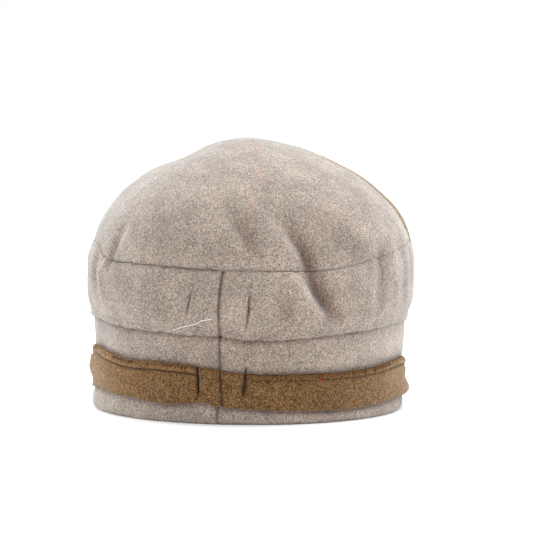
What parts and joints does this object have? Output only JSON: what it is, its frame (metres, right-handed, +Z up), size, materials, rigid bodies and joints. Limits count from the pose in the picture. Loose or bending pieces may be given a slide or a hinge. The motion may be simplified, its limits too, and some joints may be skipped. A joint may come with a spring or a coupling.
{
  "type": "fleece beanie",
  "caption": "Round two-tone fleece cap with a domed panelled crown, a deep side band, a rolled edge and a hemmed contrast strip.",
  "frame": {"origin": "centre of the hat's box in plan, on the surface that the rolled edge rests on", "axes": "+Z up to the top of the crown, +Y towards the forehead, so the centre back seam is at -Y, and +X to the wearer's right"},
  "size_m": [0.1941, 0.2058, 0.1601],
  "materials": {
    "greige_fleece": "matt brushed melange fleece",
    "tan_fleece": "matt brushed melange fleece",
    "sewing_thread": "matt spun polyester thread"
  },
  "bodies": {
    "root": {"crown_back": "greige_fleece", "crown_front": "tan_fleece", "side_band": "greige_fleece", "lower_band": "greige_fleece", "contrast_strip": "tan_fleece"}
  },
  "joints": []
}
